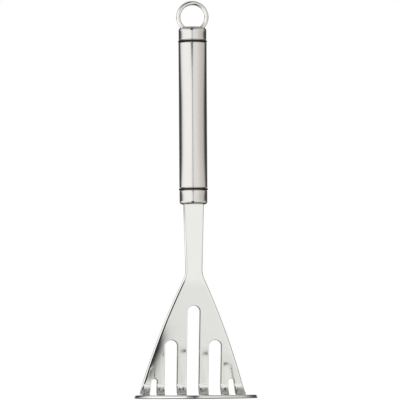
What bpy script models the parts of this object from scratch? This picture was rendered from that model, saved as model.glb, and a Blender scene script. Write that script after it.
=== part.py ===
"""Potato masher with a slotted sheet-steel foot and a tubular steel handle.

Metres, +Z up.  The masher stands on its foot: the origin is at the middle of
the foot's resting box, +X runs across the blade and -Y is the side that the
foot reaches out to.
"""

import math

import bmesh
import bpy
from mathutils import Vector

NAME = "potato_masher"
CLEARANCE = 0.0003  # gap between neighbouring pieces

# Blade: one stamped sheet that is foot, fan, neck and tang.
SHEET_THICKNESS = 0.0023
SHEET_EDGE_RADIUS = 0.0008
FOOT_DIAMETER = 0.082
FOLD_OFFSET = 0.021  # from the foot's centre back to the start of the fold
FOLD_INNER_RADIUS = 0.0063
FAN_LEAN = math.radians(14.3)  # the fan leans forward over the foot
FOLD_NOTCH_LENGTH = 0.0045  # relief between the foot's rim and the fan's corner
FOLD_NOTCH_DEPTH = 0.0020  # how far the rim runs on into that relief
FOLD_NOTCH_CORNER = 0.0010
FAN_FLARE = 0.0006  # the fan's bottom corners stand this far outside the fold's ends
FAN_CORNER = 0.0015
FAN_EDGE_RADIUS = 0.520  # the fan's long sides are slightly convex
WAIST_HEIGHT = 0.0823
WAIST_WIDTH = 0.0111
WAIST_FILLET = 0.015
NECK_WIDTH = 0.0138
NECK_BEND_RADIUS = 0.068  # brings the leaning sheet upright at the waist
NECK_UPRIGHT_LENGTH = 0.040
SHOULDER_CORNER = 0.0010
TANG_LENGTH = 0.033
TANG_ROOT_CORNER = 0.0004
TANG_TIP_CORNER = 0.0015

# Slots.  Three wide ones and a narrow one at each side run from the fan
# through the fold and across the foot.
SLOT_WIDTH = 0.0078
OUTER_SLOT_WIDTH = 0.0045
OUTER_SLOT_TOP_WIDTH = 0.0034
OUTER_SLOT_TOP_INSET = 0.00125
OUTER_SLOT_TOP_CORNER = 0.0015
OUTER_SLOT_INNER_CORNER = 0.0012
OUTER_SLOT_OUTER_CORNER = 0.0030
OUTER_TINE_WIDTH = 0.0061
TINE_RATIO = 1.13  # inner tines over the tines next to the narrow slots
SLOT_RIM = 0.0065  # metal between the wide slots and the foot's rim
OUTER_SLOT_RIM = 0.010
MIDDLE_SLOT_HEIGHT = 0.0616
SIDE_SLOT_HEIGHT = 0.0387
OUTER_SLOT_HEIGHT = 0.0129

# Handle.
HANDLE_BOTTOM = 0.1287
TUBE_DIAMETER = 0.019
TUBE_WALL = 0.0012
TUBE_LENGTH = 0.0965
TUBE_EDGE = 0.0002
CAP_STEP = 0.0001  # the caps are this much smaller in radius than the tube
CAP_WALL = 0.0012
CAP_END_WALL = 0.0015
LOWER_CAP_HEIGHT = 0.0091
LOWER_CAP_CORNER = 0.0022
UPPER_CAP_HEIGHT = 0.0086
UPPER_CAP_CORNER = 0.0028
SPIGOT_LENGTH = 0.012
O_RING_SECTION = 0.0014

# Hanging loop, a closed wire ring that dips through the upper cap's end wall.
LOOP_RADIUS = 0.0094
LOOP_WIRE = 0.0028

# Plug that grips the tang, and the pin through both.
PLUG_HEAD_LENGTH = 0.012
PLUG_WALL = 0.0020  # plug material beside the tang
PLUG_SEAM = 0.0003
PIN_DIAMETER = 0.003
PIN_BELOW_HEAD_TOP = 0.006

# How finely the round shapes are faceted.
ROUND_STEPS = 48
WIRE_STEPS = 12
ROD_STEPS = 24
FOLD_STEPS = 12
NECK_STEPS = 4
CAP_CORNER_STEPS = 5
FAN_EDGE_STEPS = 12
RIM_STEP = math.radians(6.0)
CORNER_STEP = math.radians(20.0)
MITRE_LIMIT = 0.3  # keeps an outline's offset corners from running away
MERGE_DISTANCE = 0.000002

# Sizes that follow from the driving dimensions.
HALF_SHEET = SHEET_THICKNESS / 2
FOOT_RADIUS = FOOT_DIAMETER / 2
FOLD_MID_RADIUS = FOLD_INNER_RADIUS + HALF_SHEET
FOLD_TURN = math.pi / 2 + FAN_LEAN
FOOT_DEPTH = FOOT_RADIUS + FOLD_OFFSET + FOLD_INNER_RADIUS + SHEET_THICKNESS
FOOT_FRONT = -FOOT_DEPTH / 2
FOLD_HALF_WIDTH = math.sqrt(FOOT_RADIUS**2 - FOLD_OFFSET**2)

TUBE_RADIUS = TUBE_DIAMETER / 2
TUBE_BORE = TUBE_RADIUS - TUBE_WALL
CAP_RADIUS = TUBE_RADIUS - CAP_STEP
SPIGOT_RADIUS = TUBE_BORE - CLEARANCE
CAP_BORE = SPIGOT_RADIUS - CAP_WALL
O_RING_GAP = O_RING_SECTION + 2 * CLEARANCE
O_RING_RADIUS = SPIGOT_RADIUS + CLEARANCE + O_RING_SECTION / 2
PLUG_RADIUS = CAP_BORE - CLEARANCE
TANG_WIDTH = 2 * (PLUG_RADIUS - PLUG_WALL)

LOWER_CAP_TOP = HANDLE_BOTTOM + LOWER_CAP_HEIGHT
TUBE_BOTTOM = LOWER_CAP_TOP + O_RING_GAP
TUBE_TOP = TUBE_BOTTOM + TUBE_LENGTH
UPPER_CAP_BOTTOM = TUBE_TOP + O_RING_GAP
HANDLE_TOP = UPPER_CAP_BOTTOM + UPPER_CAP_HEIGHT
PLUG_HEAD_BOTTOM = LOWER_CAP_TOP + SPIGOT_LENGTH + CLEARANCE
PLUG_HEAD_TOP = PLUG_HEAD_BOTTOM + PLUG_HEAD_LENGTH
PIN_HEIGHT = PLUG_HEAD_TOP - PIN_BELOW_HEAD_TOP
SHOULDER_HEIGHT = HANDLE_BOTTOM - CLEARANCE

# Runs of the sheet along its middle line, from the foot's front rim to the top
# of the tang: each is (length, turn), and a turn of 0 is a straight run.
FOOT_RUN = FOOT_RADIUS + FOLD_OFFSET
FOLD_RUN = FOLD_MID_RADIUS * FOLD_TURN
FAN_BOTTOM_HEIGHT = HALF_SHEET + FOLD_MID_RADIUS * (1 - math.cos(FOLD_TURN))
NECK_BEND_RUN = NECK_BEND_RADIUS * FAN_LEAN
NECK_BEND_RISE = NECK_BEND_RADIUS * math.sin(FAN_LEAN)
FAN_RISE = SHOULDER_HEIGHT - NECK_UPRIGHT_LENGTH - NECK_BEND_RISE - FAN_BOTTOM_HEIGHT
FAN_RUN = FAN_RISE / math.cos(FAN_LEAN)
SHEET_RUNS = [
    (FOOT_RUN, 0.0),
    (FOLD_RUN, FOLD_TURN),
    (FAN_RUN, 0.0),
    (NECK_BEND_RUN, -FAN_LEAN),
    (NECK_UPRIGHT_LENGTH + TANG_LENGTH, 0.0),
]
SHOULDER_RUN = sum(run for run, turn in SHEET_RUNS) - TANG_LENGTH


def sheet_line(distance):
    """Y, Z and direction of the sheet's middle line, this far from the front rim."""
    y, z, angle = FOOT_FRONT, HALF_SHEET, 0.0
    for length, turn in SHEET_RUNS:
        step = min(distance, length)
        if turn:
            radius = length / turn
            new_angle = angle + step / radius
            y += radius * (math.sin(new_angle) - math.sin(angle))
            z += radius * (math.cos(angle) - math.cos(new_angle))
            angle = new_angle
        else:
            y += step * math.cos(angle)
            z += step * math.sin(angle)
        distance -= step
        if distance <= 0:
            break
    return y, z, angle


def bent(x, distance, lift):
    """Place of a point of the flat sheet once it is bent, lift being its height off mid-sheet."""
    y, z, angle = sheet_line(distance)
    return Vector((x, y - lift * math.sin(angle), z + lift * math.cos(angle)))


HANDLE_Y = sheet_line(SHOULDER_RUN)[0]


def fan_run_at(height):
    """Distance along the sheet at which its straight, leaning part has this height."""
    return FOOT_RUN + FOLD_RUN + (height - FAN_BOTTOM_HEIGHT) / math.cos(FAN_LEAN)


# ---------------------------------------------------------------- flat outlines


def arc_points(centre, radius, start, end, step):
    """Points of an arc, both ends included."""
    count = max(1, math.ceil(abs(end - start) / step))
    angles = [start + (end - start) * i / count for i in range(count + 1)]
    return [centre + Vector((math.cos(a), math.sin(a))) * radius for a in angles]


def bowed_points(start, end, radius, count):
    """Points between two ends, on the arc that bulges to the right of start to end."""
    chord = end - start
    half = chord.length / 2
    side = Vector((chord.y, -chord.x)).normalized()
    centre = (start + end) / 2 - side * math.sqrt(radius**2 - half**2)
    first = math.atan2(start.y - centre.y, start.x - centre.x)
    spread = 2 * math.asin(half / radius)
    angles = [first + spread * i / count for i in range(1, count)]
    return [centre + Vector((math.cos(a), math.sin(a))) * radius for a in angles]


def rounded(corners):
    """A closed outline from (point, radius) corners, each rounded to its radius."""
    outline = []
    for i, (corner, radius) in enumerate(corners):
        if not radius:
            outline.append(corner)
            continue
        before = (corners[i - 1][0] - corner).normalized()
        after = (corners[(i + 1) % len(corners)][0] - corner).normalized()
        half = before.angle(after) / 2
        centre = corner + (before + after).normalized() * radius / math.sin(half)
        first = corner + before * radius / math.tan(half) - centre
        turn = first.angle_signed(corner + after * radius / math.tan(half) - centre)
        count = max(2, math.ceil(abs(turn) / CORNER_STEP))
        start = math.atan2(first.y, first.x)
        for k in range(count + 1):
            angle = start - turn * k / count
            outline.append(centre + Vector((math.cos(angle), math.sin(angle))) * radius)
    return outline


def grown(outline, amount):
    """The outline moved outwards by amount, or inwards where amount is negative."""
    area = sum(a.cross(b) for a, b in zip(outline, outline[1:] + outline[:1]))
    amount = math.copysign(amount, amount * area)
    moved = []
    for i, point in enumerate(outline):
        before = (point - outline[i - 1]).normalized()
        after = (outline[(i + 1) % len(outline)] - point).normalized()
        normal = Vector((before.y + after.y, -before.x - after.x)).normalized()
        reach = amount / max(MITRE_LIMIT, normal.dot(Vector((after.y, -after.x))))
        moved.append(point + normal * reach)
    return moved


def blade_outline():
    """Outline of the flat blade, x across and y along the sheet from the front rim."""
    centre = Vector((0.0, FOOT_RADIUS))
    rim_end = math.asin((FOLD_OFFSET + FOLD_NOTCH_DEPTH) / FOOT_RADIUS)
    rim = arc_points(centre, FOOT_RADIUS, -math.pi / 2, rim_end, RIM_STEP)
    fan_corner = Vector((FOLD_HALF_WIDTH + FAN_FLARE, FOOT_RUN + FOLD_NOTCH_LENGTH))
    waist = Vector((WAIST_WIDTH / 2, fan_run_at(WAIST_HEIGHT)))
    side = bowed_points(fan_corner, waist, FAN_EDGE_RADIUS, FAN_EDGE_STEPS)
    right = [(point, 0.0) for point in rim[1:-1]]
    right += [(rim[-1], FOLD_NOTCH_CORNER), (fan_corner, FAN_CORNER)]
    right += [(point, 0.0) for point in side]
    right += [
        (waist, WAIST_FILLET),
        (Vector((NECK_WIDTH / 2, SHOULDER_RUN)), SHOULDER_CORNER),
        (Vector((TANG_WIDTH / 2, SHOULDER_RUN)), TANG_ROOT_CORNER),
        (Vector((TANG_WIDTH / 2, SHOULDER_RUN + TANG_LENGTH)), TANG_TIP_CORNER),
    ]
    left = [(Vector((-point.x, point.y)), radius) for point, radius in reversed(right)]
    return rounded([(rim[0], 0.0)] + right + left)


def wide_slot(x, top_height):
    """Outline of one wide slot, round at both ends."""
    radius = SLOT_WIDTH / 2
    reach = FOOT_RADIUS - SLOT_RIM - radius
    front = Vector((x, FOOT_RADIUS - math.sqrt(reach**2 - x**2)))
    back = Vector((x, fan_run_at(top_height) - radius))
    end = arc_points(front, radius, -math.pi, 0.0, CORNER_STEP)
    return end + arc_points(back, radius, 0.0, math.pi, CORNER_STEP)


def outer_slot(inner_x, side):
    """Outline of a narrow slot: its front end follows the rim, and its top leans inwards."""
    outer_x = inner_x + OUTER_SLOT_WIDTH
    reach = FOOT_RADIUS - OUTER_SLOT_RIM
    fronts = [FOOT_RADIUS - math.sqrt(reach**2 - x**2) for x in (inner_x, outer_x)]
    top = fan_run_at(OUTER_SLOT_HEIGHT)
    top_x = inner_x + OUTER_SLOT_WIDTH / 2 - OUTER_SLOT_TOP_INSET
    half_top = OUTER_SLOT_TOP_WIDTH / 2
    corners = [
        (Vector((inner_x, fronts[0])), OUTER_SLOT_INNER_CORNER),
        (Vector((outer_x, fronts[1])), OUTER_SLOT_OUTER_CORNER),
        (Vector((outer_x, FOOT_RUN)), 0.0),
        (Vector((top_x + half_top, top)), OUTER_SLOT_TOP_CORNER),
        (Vector((top_x - half_top, top)), OUTER_SLOT_TOP_CORNER),
        (Vector((inner_x, FOOT_RUN)), 0.0),
    ]
    return [Vector((side * point.x, point.y)) for point in rounded(corners)]


def slot_outlines():
    """All the openings of the blade: five slots and the tang's pin hole."""
    metal = FOLD_HALF_WIDTH - OUTER_TINE_WIDTH - OUTER_SLOT_WIDTH - 1.5 * SLOT_WIDTH
    inner_tine = metal * TINE_RATIO / (1 + TINE_RATIO)
    pitch = SLOT_WIDTH + inner_tine
    narrow_x = FOLD_HALF_WIDTH - OUTER_TINE_WIDTH - OUTER_SLOT_WIDTH
    slots = [wide_slot(0.0, MIDDLE_SLOT_HEIGHT)]
    for side in (-1, 1):
        slots.append(wide_slot(side * pitch, SIDE_SLOT_HEIGHT))
        slots.append(outer_slot(narrow_x, side))
    pin_centre = Vector((0.0, SHOULDER_RUN + PIN_HEIGHT - SHOULDER_HEIGHT))
    hole_radius = PIN_DIAMETER / 2 + CLEARANCE
    slots.append(arc_points(pin_centre, hole_radius, 0.0, math.tau, CORNER_STEP)[:-1])
    return slots


# ---------------------------------------------------------------- modelling tools


def clear_scene():
    for obj in list(bpy.data.objects):
        bpy.data.objects.remove(obj, do_unlink=True)


def make_collection(name):
    collection = bpy.data.collections.new(name)
    bpy.context.scene.collection.children.link(collection)
    return collection


def finish(name, colour, roughness, metallic=1.0):
    """A Principled material, a metal unless told otherwise."""
    material = bpy.data.materials.new(name)
    material.use_nodes = True
    shader = material.node_tree.nodes["Principled BSDF"]
    shader.inputs["Base Color"].default_value = (*colour, 1.0)
    shader.inputs["Roughness"].default_value = roughness
    shader.inputs["Metallic"].default_value = metallic
    return material


def add_object(name, data, collection, material=None):
    obj = bpy.data.objects.new(name, data)
    collection.objects.link(obj)
    if material:
        data.materials.append(material)
    return obj


def move_to(obj, collection, material=None):
    """Names and files an object that an operator has just added."""
    for other in list(obj.users_collection):
        other.objects.unlink(obj)
    collection.objects.link(obj)
    if material:
        obj.data.materials.append(material)
    return obj


def shade(mesh, degrees=35.0):
    mesh.shade_smooth()
    mesh.set_sharp_from_angle(angle=math.radians(degrees))


def turned(name, profile, collection, material=None, closed=False):
    """A round piece about the handle's axis, from (radius, height) points."""
    mesh = bpy.data.meshes.new(name)
    points = [(radius, 0.0, height) for radius, height in profile]
    edges = [(i, i + 1) for i in range(len(points) - 1)]
    if closed:
        edges.append((len(points) - 1, 0))
    mesh.from_pydata(points, edges, [])
    obj = add_object(name, mesh, collection, material)
    obj.location = (0.0, HANDLE_Y, 0.0)
    screw = obj.modifiers.new("turn", "SCREW")
    screw.steps = screw.render_steps = ROUND_STEPS
    screw.use_merge_vertices = True
    screw.merge_threshold = 0.00001
    screw.use_smooth_shade = True
    return obj


def ring(name, radius, section, height, collection, material=None, upright=False):
    """A torus on the handle's axis, lying flat or standing in the blade's plane."""
    bpy.ops.mesh.primitive_torus_add(
        location=(0.0, HANDLE_Y, height),
        rotation=(math.pi / 2 if upright else 0.0, 0.0, 0.0),
        major_radius=radius,
        minor_radius=section / 2,
        major_segments=ROUND_STEPS,
        minor_segments=WIRE_STEPS,
    )
    obj = bpy.context.object
    obj.name = name
    obj.data.shade_smooth()
    return move_to(obj, collection, material)


def rod(name, radius, length, centre, collection, material=None):
    """A cylinder that runs front to back."""
    bpy.ops.mesh.primitive_cylinder_add(
        vertices=ROD_STEPS,
        radius=radius,
        depth=length,
        location=centre,
        rotation=(math.pi / 2, 0.0, 0.0),
    )
    obj = bpy.context.object
    obj.name = name
    shade(obj.data)
    return move_to(obj, collection, material)


def block(name, low, high, collection):
    """A box between two corners."""
    bpy.ops.mesh.primitive_cube_add(size=1.0, location=(Vector(low) + Vector(high)) / 2)
    obj = bpy.context.object
    obj.name = name
    for vertex in obj.data.vertices:
        for axis in range(3):
            vertex.co[axis] *= high[axis] - low[axis]
    return move_to(obj, collection)


def as_cutter(obj):
    obj.hide_render = True
    obj.display_type = "WIRE"
    return obj


def cut(obj, cutter):
    boolean = obj.modifiers.new("cut " + cutter.name, "BOOLEAN")
    boolean.operation = "DIFFERENCE"
    boolean.solver = "EXACT"
    boolean.object = as_cutter(cutter)


def arc_profile(radius, height, corner, start):
    """Quarter circle about (radius, height), clockwise from the start angle, for a turned piece."""
    angles = [start - math.pi / 2 * i / CAP_CORNER_STEPS for i in range(CAP_CORNER_STEPS + 1)]
    return [(radius + corner * math.cos(a), height + corner * math.sin(a)) for a in angles]


# ---------------------------------------------------------------- the pieces


def flat_blank(collection):
    """The flat sheet with its slots, rounded along every edge."""
    curve = bpy.data.curves.new("blank", "CURVE")
    curve.dimensions = "2D"
    curve.fill_mode = "BOTH"
    curve.extrude = HALF_SHEET - SHEET_EDGE_RADIUS
    curve.bevel_depth = SHEET_EDGE_RADIUS
    curve.bevel_resolution = 1
    outlines = [grown(blade_outline(), -SHEET_EDGE_RADIUS)]
    outlines += [grown(slot, SHEET_EDGE_RADIUS) for slot in slot_outlines()]
    for outline in outlines:
        spline = curve.splines.new("POLY")
        spline.points.add(len(outline) - 1)
        for point, place in zip(spline.points, outline):
            point.co = (place.x, place.y, 0.0, 1.0)
        spline.use_cyclic_u = True
    return add_object("blank", curve, collection)


def bend_lines():
    """Distances along the sheet at which its bends are split into flat facets."""
    lines, start = [], 0.0
    for length, turn in SHEET_RUNS:
        if turn:
            steps = FOLD_STEPS if turn > 0 else NECK_STEPS
            lines += [start + length * i / steps for i in range(steps + 1)]
        start += length
    return lines


def build_blade(parts, cutters, material):
    """Foot, fan, neck and tang, bent from one slotted sheet."""
    blank = flat_blank(cutters)
    depsgraph = bpy.context.evaluated_depsgraph_get()
    mesh = bpy.data.meshes.new_from_object(blank.evaluated_get(depsgraph))
    bpy.data.objects.remove(blank, do_unlink=True)
    sheet = bmesh.new()
    sheet.from_mesh(mesh)
    bmesh.ops.remove_doubles(sheet, verts=sheet.verts, dist=MERGE_DISTANCE)
    for distance in bend_lines():
        everything = sheet.verts[:] + sheet.edges[:] + sheet.faces[:]
        bmesh.ops.bisect_plane(
            sheet, geom=everything, dist=MERGE_DISTANCE, plane_co=(0, distance, 0), plane_no=(0, 1, 0)
        )
    bmesh.ops.triangulate(sheet, faces=sheet.faces)
    for vertex in sheet.verts:
        vertex.co = bent(*vertex.co)
    bmesh.ops.recalc_face_normals(sheet, faces=sheet.faces)
    sheet.to_mesh(mesh)
    sheet.free()
    mesh.name = "blade"
    mesh.materials.clear()
    shade(mesh)
    return add_object("blade", mesh, parts, material)


def build_lower_cap(parts, cutters, material):
    """Cup on the handle's lower end: the tang passes through a slot in its end wall."""
    corner = LOWER_CAP_CORNER
    profile = [
        (0.0, HANDLE_BOTTOM + CAP_END_WALL),
        (CAP_BORE, HANDLE_BOTTOM + CAP_END_WALL),
        (CAP_BORE, LOWER_CAP_TOP + SPIGOT_LENGTH),
        (SPIGOT_RADIUS, LOWER_CAP_TOP + SPIGOT_LENGTH),
        (SPIGOT_RADIUS, LOWER_CAP_TOP),
        (CAP_RADIUS - TUBE_EDGE, LOWER_CAP_TOP),
        (CAP_RADIUS, LOWER_CAP_TOP - TUBE_EDGE),
    ]
    profile += arc_profile(CAP_RADIUS - corner, HANDLE_BOTTOM + corner, corner, 0.0)
    profile.append((0.0, HANDLE_BOTTOM))
    cap = turned("lower_cap", profile, parts, material)
    half_width = TANG_WIDTH / 2 + CLEARANCE
    half_gap = HALF_SHEET + CLEARANCE
    low = (-half_width, HANDLE_Y - half_gap, HANDLE_BOTTOM - CAP_END_WALL)
    high = (half_width, HANDLE_Y + half_gap, HANDLE_BOTTOM + 2 * CAP_END_WALL)
    cut(cap, block("tang_slot", low, high, cutters))
    return cap


def build_upper_cap(parts, cutters, material):
    """Cup on the handle's upper end, with two holes that the loop dips through."""
    corner = UPPER_CAP_CORNER
    profile = [(0.0, HANDLE_TOP)]
    profile += arc_profile(CAP_RADIUS - corner, HANDLE_TOP - corner, corner, math.pi / 2)
    profile += [
        (CAP_RADIUS, UPPER_CAP_BOTTOM + TUBE_EDGE),
        (CAP_RADIUS - TUBE_EDGE, UPPER_CAP_BOTTOM),
        (SPIGOT_RADIUS, UPPER_CAP_BOTTOM),
        (SPIGOT_RADIUS, UPPER_CAP_BOTTOM - SPIGOT_LENGTH),
        (CAP_BORE, UPPER_CAP_BOTTOM - SPIGOT_LENGTH),
        (CAP_BORE, HANDLE_TOP - CAP_END_WALL),
        (0.0, HANDLE_TOP - CAP_END_WALL),
    ]
    cap = turned("upper_cap", profile, parts, material)
    section = LOOP_WIRE + 2 * CLEARANCE
    cut(cap, ring("loop_holes", LOOP_RADIUS, section, loop_height(), cutters, upright=True))
    return cap


def loop_height():
    """Height of the loop's centre: the wire meets the cap's end where its shoulder begins."""
    return HANDLE_TOP + math.sqrt(LOOP_RADIUS**2 - (CAP_RADIUS - UPPER_CAP_CORNER) ** 2)


def build_tube(parts, material):
    """Handle tube, open at both ends, with its edges broken."""
    outer, inner, edge = TUBE_RADIUS, TUBE_BORE, TUBE_EDGE
    profile = [
        (outer - edge, TUBE_TOP),
        (outer, TUBE_TOP - edge),
        (outer, TUBE_BOTTOM + edge),
        (outer - edge, TUBE_BOTTOM),
        (inner, TUBE_BOTTOM),
        (inner, TUBE_TOP),
    ]
    return turned("handle_tube", profile, parts, material, closed=True)


def build_plug_halves(parts, cutters, material):
    """Two moulded halves that close round the tang inside the lower cap and the tube."""
    profile = [
        (0.0, PLUG_HEAD_TOP),
        (SPIGOT_RADIUS, PLUG_HEAD_TOP),
        (SPIGOT_RADIUS, PLUG_HEAD_BOTTOM),
        (PLUG_RADIUS, PLUG_HEAD_BOTTOM),
        (PLUG_RADIUS, HANDLE_BOTTOM + CAP_END_WALL + CLEARANCE),
        (0.0, HANDLE_BOTTOM + CAP_END_WALL + CLEARANCE),
    ]
    reach = TUBE_DIAMETER
    tang_top = SHOULDER_HEIGHT + TANG_LENGTH
    half_width = TANG_WIDTH / 2 + CLEARANCE
    half_gap = HALF_SHEET + CLEARANCE
    pin_centre = (0.0, HANDLE_Y, PIN_HEIGHT)
    hole_radius = PIN_DIAMETER / 2 + CLEARANCE
    for name, side in (("plug_front_half", -1), ("plug_rear_half", 1)):
        half = turned(name, profile, parts, material)
        seam = HANDLE_Y + side * PLUG_SEAM / 2
        far = seam - side * reach
        low = (-reach, min(seam, far), HANDLE_BOTTOM)
        high = (reach, max(seam, far), PLUG_HEAD_TOP + PLUG_WALL)
        cut(half, block(name + "_parting", low, high, cutters))
        low = (-half_width, HANDLE_Y - half_gap, HANDLE_BOTTOM)
        high = (half_width, HANDLE_Y + half_gap, tang_top + CLEARANCE)
        cut(half, block(name + "_tang_pocket", low, high, cutters))
        cut(half, rod(name + "_pin_hole", hole_radius, 2 * reach, pin_centre, cutters))


def build_pin(parts, material):
    """Cross pin that locks the tang in the plug."""
    length = 2 * math.sqrt(SPIGOT_RADIUS**2 - PIN_DIAMETER**2 / 4) - PLUG_WALL
    return rod("tang_pin", PIN_DIAMETER / 2, length, (0.0, HANDLE_Y, PIN_HEIGHT), parts, material)


def main():
    clear_scene()
    parts = make_collection(NAME)
    cutters = make_collection(NAME + "_cutters")
    polished = finish("polished steel", (0.80, 0.79, 0.77), 0.12)
    brushed = finish("brushed steel", (0.72, 0.71, 0.69), 0.32)
    wire = finish("wire steel", (0.76, 0.75, 0.74), 0.15)
    rubber = finish("black rubber", (0.012, 0.012, 0.012), 0.55, metallic=0.0)
    nylon = finish("white nylon", (0.75, 0.74, 0.70), 0.50, metallic=0.0)

    build_blade(parts, cutters, polished)
    build_lower_cap(parts, cutters, brushed)
    build_upper_cap(parts, cutters, brushed)
    build_tube(parts, brushed)
    lower_ring = TUBE_BOTTOM - O_RING_GAP / 2
    upper_ring = TUBE_TOP + O_RING_GAP / 2
    ring("lower_o_ring", O_RING_RADIUS, O_RING_SECTION, lower_ring, parts, rubber)
    ring("upper_o_ring", O_RING_RADIUS, O_RING_SECTION, upper_ring, parts, rubber)
    ring("hanging_loop", LOOP_RADIUS, LOOP_WIRE, loop_height(), parts, wire, upright=True)
    build_plug_halves(parts, cutters, nylon)
    build_pin(parts, wire)


main()
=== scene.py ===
"""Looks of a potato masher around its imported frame, laid out as an add-on with one operator a piece."""

import math

import bmesh
import bpy
from mathutils import Matrix, Vector


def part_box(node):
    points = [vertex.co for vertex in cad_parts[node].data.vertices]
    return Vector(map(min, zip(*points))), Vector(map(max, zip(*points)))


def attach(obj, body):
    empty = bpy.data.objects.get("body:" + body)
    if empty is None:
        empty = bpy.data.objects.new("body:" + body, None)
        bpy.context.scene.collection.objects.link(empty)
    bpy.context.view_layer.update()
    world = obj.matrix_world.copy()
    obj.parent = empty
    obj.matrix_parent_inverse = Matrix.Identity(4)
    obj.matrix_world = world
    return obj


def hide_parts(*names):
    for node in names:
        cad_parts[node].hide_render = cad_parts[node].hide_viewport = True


bl_info = {
    "name": "Potato Masher",
    "version": (1, 0, 0),
    "blender": (4, 5, 0),
    "location": "View3D > Sidebar > Masher",
    "description": "Builds a slotted steel potato masher piece by piece, with its studio",
    "category": "Object",
}

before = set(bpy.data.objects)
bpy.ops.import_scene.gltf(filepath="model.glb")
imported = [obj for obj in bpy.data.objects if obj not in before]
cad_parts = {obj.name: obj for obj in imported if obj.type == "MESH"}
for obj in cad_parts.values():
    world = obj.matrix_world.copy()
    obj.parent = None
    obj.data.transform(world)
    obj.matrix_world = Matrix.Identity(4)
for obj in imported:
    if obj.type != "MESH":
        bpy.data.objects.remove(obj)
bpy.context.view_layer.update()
BODY = "root"


def extent(node, axis):
    """Size of a frame node along an axis, 0 for X, 1 for Y, 2 for Z."""
    low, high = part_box(node)
    return high[axis] - low[axis]


def middle(node, axis):
    """Middle of a frame node along an axis."""
    low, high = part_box(node)
    return (high[axis] + low[axis]) / 2


HANDLE_Y = middle("handle_tube", 1)


# ---------------- sizes and colours


def length(name, description, default):
    """A length that the sidebar shows in scene units."""
    return bpy.props.FloatProperty(
        name=name, description=description, default=default, precision=5, min=0.0, unit="LENGTH"
    )


def colour(name, description, default):
    """A linear colour."""
    return bpy.props.FloatVectorProperty(
        name=name, description=description, default=default, subtype="COLOR", min=0.0, max=1.0
    )


class MasherBladeSizes(bpy.types.PropertyGroup):
    """Sizes of the bent sheet"""

    thickness: length("Sheet", "Thickness of the sheet", 0.0023)
    rim_round: length("Rim rounding", "Width of the rounded part of the outer edge", 0.00085)
    rim_crown: length("Rim crown", "Width of the slight fall before that rounding", 0.00095)
    slot_round: length("Slot rounding", "Width of the rounded part of a slot's edge", 0.00028)
    slot_crown: length("Slot crown", "Width of the slight fall before that rounding", 0.00062)
    crown_angle: bpy.props.FloatProperty(
        name="Crown angle",
        description="Slope at which the crown meets the rounding",
        default=math.radians(7.0),
        subtype="ANGLE",
    )
    foot_diameter: length("Foot", "Diameter of the round foot", extent("blade", 0))
    fold_offset: length("Fold offset", "From the foot's centre back to the fold", 0.021)
    fold_inner_radius: length("Fold radius", "Inner radius of the fold", 0.0063)
    lean: bpy.props.FloatProperty(
        name="Lean",
        description="How far the fan leans over the foot",
        default=math.radians(14.3),
        subtype="ANGLE",
    )
    notch_length: length("Notch length", "Relief between rim and fan corner", 0.0045)
    notch_depth: length("Notch run", "How far the rim runs on into the relief", 0.0020)
    fan_flare: length("Fan flare", "How far the fan's corners stand outside the fold's ends", 0.0006)
    fan_edge_radius: length("Fan edge", "Radius of the fan's convex long sides", 0.520)
    waist_height: length("Waist height", "Height at which the fan meets the neck", 0.0823)
    waist_width: length("Waist width", "Width of the neck's narrow end", 0.0111)
    waist_fillet: length("Waist fillet", "Fillet between neck and fan", 0.015)
    neck_width: length("Neck width", "Width of the neck under the handle", 0.0138)
    neck_bend_radius: length("Neck bend", "Radius that brings the neck upright", 0.068)
    neck_upright: length("Upright neck", "Straight neck below the handle", 0.040)
    tang_length: length("Tang length", "Hidden part of the sheet", 0.033)
    tang_width: length("Tang width", "Width of the hidden part", 0.009)
    slot_width: length("Slot width", "Width of the wide slots", 0.0078)
    outer_slot_width: length("Narrow slot", "Width of the slots at the sides", 0.0045)
    outer_slot_top: length("Narrow slot top", "Width at the narrow slots' tops", 0.0034)
    outer_slot_inset: length("Narrow slot inset", "How far their tops lean inwards", 0.00125)
    outer_tine: length("Outer tine", "Metal outside the narrow slots", 0.0061)
    tine_ratio: bpy.props.FloatProperty(
        name="Tine ratio", description="Inner tines over outer ones", default=1.13, min=0.1
    )
    slot_rim: length("Slot rim", "Metal between the wide slots and the rim", 0.0065)
    outer_slot_rim: length("Narrow slot rim", "Metal between the narrow slots and the rim", 0.010)
    middle_slot_height: length("Middle slot", "Height of the middle slot's top", 0.0616)
    side_slot_height: length("Side slots", "Height of their tops", 0.0387)
    outer_slot_height: length("Narrow slots", "Height of their tops", 0.0129)
    curl_width: length("Curl width", "How far in the fan's left edge curls back", 0.021)
    curl_low: length("Curl low", "Height at which the curl begins", 0.009)
    curl_full_low: length("Curl full low", "Height from which it is full", 0.015)
    curl_full_high: length("Curl full high", "Height up to which it is full", 0.030)
    curl_high: length("Curl high", "Height at which it ends", 0.054)
    curl_angle: bpy.props.FloatProperty(
        name="Curl angle",
        description="How far the fan's left edge is bent back",
        default=math.radians(5.5),
        subtype="ANGLE",
    )
    shoulder_depth: length("Shoulder depth", "How far the neck reaches into the cap's end", 0.0011)


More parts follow.
